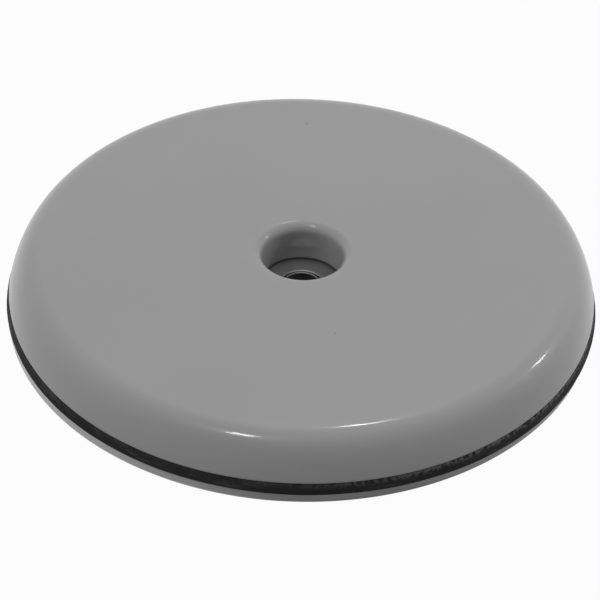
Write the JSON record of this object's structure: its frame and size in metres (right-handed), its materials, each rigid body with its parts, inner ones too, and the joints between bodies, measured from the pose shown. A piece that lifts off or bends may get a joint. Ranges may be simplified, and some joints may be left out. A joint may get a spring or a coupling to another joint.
{
  "type": "self-adhesive furniture glide",
  "caption": "Round self-adhesive furniture glide: domed low-friction cap with a centre screw hole, on a foam cushion and an adhesive pad with its liner.",
  "frame": {"origin": "centre of the round underside, where the release liner meets the surface it lies on", "axes": "+Z along the axis of the disc, from the adhesive side to the sliding face; +X and +Y lie in the underside"},
  "size_m": [0.06, 0.06, 0.0063],
  "materials": {
    "cap_plastic": "smooth glossy grey moulded low-friction plastic",
    "foam": "black closed-cell foam rubber with a cut edge",
    "adhesive": "grey acrylic adhesive foam tape",
    "liner": "thin pale release film, slightly shiny",
    "washer_steel": "plain stamped steel, dull zinc finish",
    "sleeve_steel": "plain drawn steel tube with a bright rolled rim"
  },
  "bodies": {
    "root": {"sliding_cap": "cap_plastic", "foam_cushion": "foam", "adhesive_pad": "adhesive", "release_liner": "liner", "washer": "washer_steel", "screw_sleeve": "sleeve_steel"}
  },
  "joints": []
}
